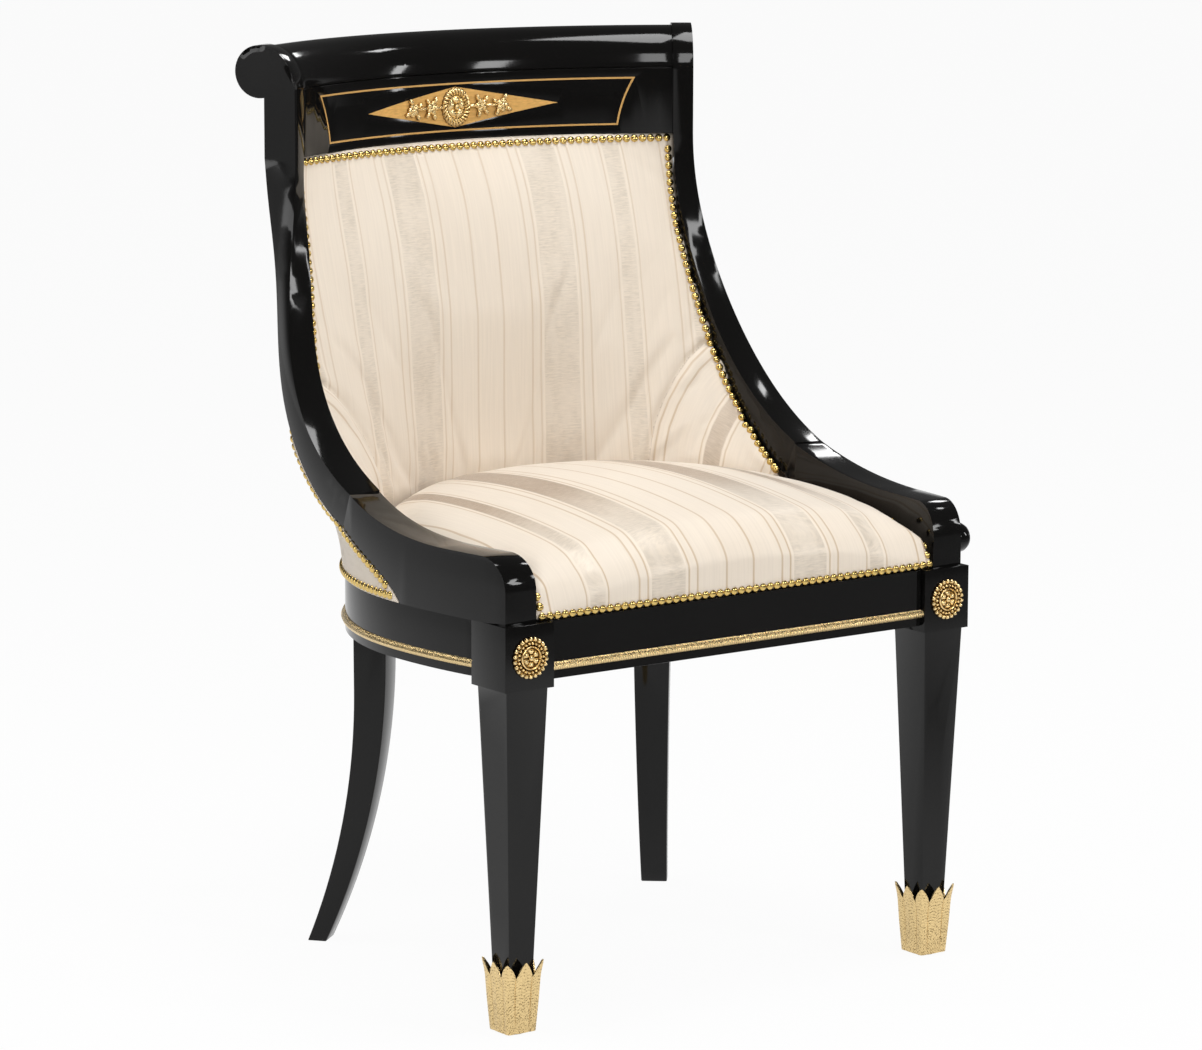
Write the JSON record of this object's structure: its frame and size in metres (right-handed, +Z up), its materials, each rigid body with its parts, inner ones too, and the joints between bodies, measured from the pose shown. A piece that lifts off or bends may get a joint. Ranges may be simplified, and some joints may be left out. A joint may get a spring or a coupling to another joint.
{
  "type": "side chair",
  "caption": "Tub-backed side chair with swept black lacquered uprights, a scrolled crest rail, gilt mounts and nails, and a striped satin seat and back.",
  "frame": {"origin": "on the floor, under the middle of the bounding box", "axes": "+Z up, -Y towards the front of the seat, +X to the right as seen from the front"},
  "size_m": [0.5828, 0.5483, 0.895],
  "materials": {
    "lacquer": "high gloss black lacquer",
    "gilt": "polished gilt",
    "stringing": "satin, let in flush",
    "satinwood": "polished",
    "beech": "plain",
    "webbing": "woven jute",
    "satin": "striped satin with a soft sheen",
    "dust_cloth": "thin black cloth",
    "glide": "dull"
  },
  "bodies": {
    "root": {"arm_boss": "lacquer", "arm_dowels": "beech", "arm_left": "lacquer", "arm_right": "lacquer", "back_rail": "lacquer", "back_shell": "beech", "corner_blocks": "beech", "crest_dowels": "beech", "crest_lozenge": "satinwood", "crest_mount": "gilt", "crest_rail": "lacquer", "crest_stringing": "stringing", "dust_cover": "dust_cloth", "front_glides": "glide", "front_leg_left": "lacquer", "front_leg_right": "lacquer", "front_rail": "lacquer", "inside_back_pad": "satin", "joint_blocks": "beech", "nails_inside_back": "gilt", "nails_outside": "gilt", "nails_seat": "gilt", "outside_back_cover": "satin", "rail_bead_front": "gilt", "rail_bead_hoop": "gilt", "rail_dowels": "beech", "rear_leg_left": "lacquer", "rear_leg_right": "lacquer", "rosette_left": "gilt", "rosette_right": "gilt", "sabot_left": "gilt", "sabot_right": "gilt", "seat_cushion": "satin", "seat_webbing": "webbing", "side_rail_left": "lacquer", "side_rail_right": "lacquer", "stile_dowels": "beech", "stile_left": "lacquer", "stile_right": "lacquer"}
  },
  "joints": []
}
